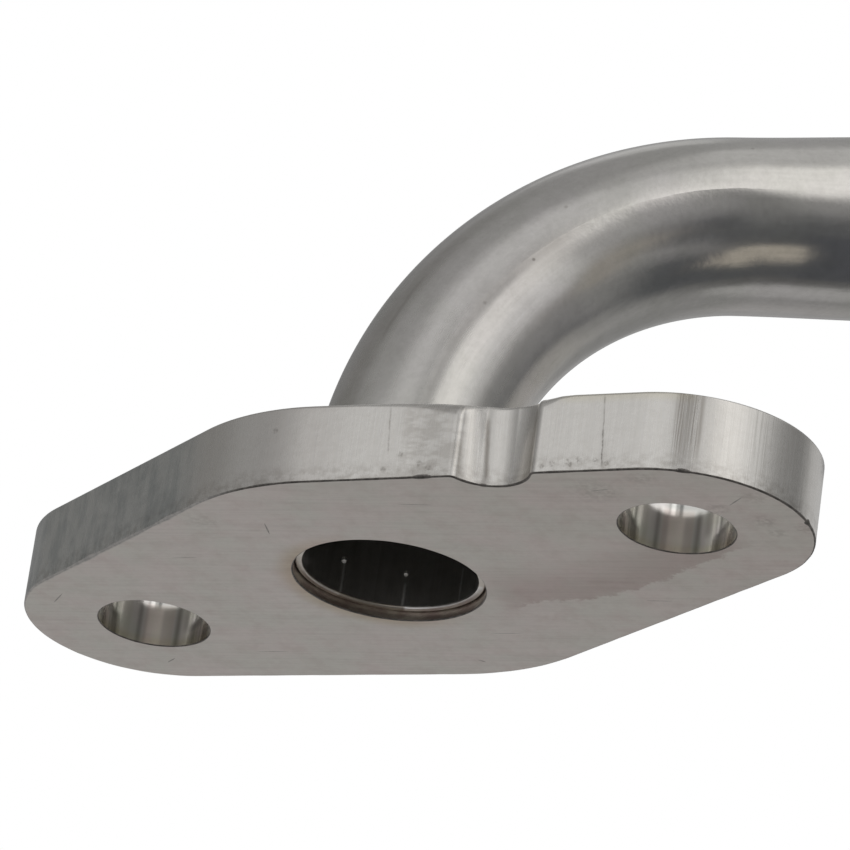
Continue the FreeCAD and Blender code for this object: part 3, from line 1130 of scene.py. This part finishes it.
def make_tent():
    bpy.ops.mesh.primitive_uv_sphere_add(segments=TENT_SIDES, ring_count=TENT_RINGS, radius=TENT_RADIUS)
    tent = bpy.context.object
    tent.name = "studio_tent"
    mesh = tent.data
    light = tent_light(np.array([vertex.co for vertex in mesh.vertices]) / TENT_RADIUS)
    layer = mesh.attributes.new("light", "FLOAT_COLOR", "POINT")
    layer.data.foreach_set("color", np.column_stack([light, np.ones(len(light))]).ravel())
    n, glow = glowing("tent_cloth")
    n.fill(glow, {"Color": n.add("ShaderNodeAttribute", attribute_name="light").outputs["Color"]})
    mesh.materials.append(n.owner)
    tent.visible_camera = tent.visible_shadow = False
    return tent


# The card: a point on it, its directions across and down, and its borders in mm from the point
CARD_POINT = np.array([42.03, 23.55, 28.25])
CARD_ACROSS = np.array([0.485, 0.761, 0.431])
CARD_DOWN = np.array([-0.586, 0.649, -0.486])
CARD_LEFT_RIGHT, CARD_TOP_BOTTOM = (-1.2, 13.0), (-8.0, 17.0)


def make_card():
    """Small dark card beside the far stretch of the tube, seen only in reflections."""
    places = zip(CARD_LEFT_RIGHT + CARD_LEFT_RIGHT[::-1], np.repeat(CARD_TOP_BOTTOM, 2))
    corners = [CARD_POINT + CARD_ACROSS * across + CARD_DOWN * down for across, down in places]
    mesh = bpy.data.meshes.new("studio_card")
    mesh.from_pydata((np.array(corners) * MM).tolist(), [], [(0, 1, 2, 3)])
    card = placed("studio_card", mesh)
    n, glow = glowing("dark_card")
    n.fill(glow, {"Color": (0.088, 0.092, 0.102)})
    mesh.materials.append(n.owner)
    card.visible_camera = card.visible_shadow = card.visible_diffuse = False
    return card


FLOOR_SIZE, FLOOR_HEIGHT = 40.0, -1.6


def make_floor():
    bpy.ops.mesh.primitive_plane_add(size=FLOOR_SIZE, location=(0, 0, FLOOR_HEIGHT))
    floor = bpy.context.object
    floor.name = "studio_floor"
    n = Nodes("pale_floor")
    n.fill(n.shader, {"Base Color": (0.86, 0.86, 0.85), "Roughness": 0.8})
    floor.data.materials.append(n.owner)
    return floor


WORLD_LIGHT = 0.5


def make_world():
    """White wherever the background is seen, plain grey light for everything else."""
    n = Nodes("studio", "worlds")
    bpy.context.scene.world = n.owner
    path = n.add("ShaderNodeLightPath").outputs
    seen = n.larger(n.larger(path["Is Camera Ray"], path["Is Glossy Ray"]), path["Is Transmission Ray"])
    background = n.tree.nodes["Background"]
    n.fill(background, {"Color": 1.0, "Strength": n.remap(seen, 0.0, 1.0, WORLD_LIGHT, 1.0)})


make_tent()
make_card()
make_floor()
make_world()


# Camera: its directions to the right, upwards and backwards, and where it stands in metres

CAMERA_RIGHT = (0.7915, 0.5970, 0.1310)
CAMERA_UP = (0.1568, -0.4054, 0.9006)
CAMERA_BACK = (0.5908, -0.6923, -0.4145)
CAMERA_PLACE = (0.389987, -0.454986, -0.255573)
FOCAL_LENGTH, SENSOR_WIDTH = 279.06, 36.0

camera_data = bpy.data.cameras.new("camera")
camera_data.lens = FOCAL_LENGTH
camera_data.sensor_width = SENSOR_WIDTH
camera_data.clip_start = 0.05
camera_data.clip_end = 50.0
camera = placed("camera", camera_data)
bpy.context.scene.camera = camera
directions = [(*direction, 0.0) for direction in (CAMERA_RIGHT, CAMERA_UP, CAMERA_BACK)]
camera.matrix_world = Matrix((*directions, (*CAMERA_PLACE, 1.0))).transposed()

bpy.context.scene.view_settings.view_transform = "Standard"
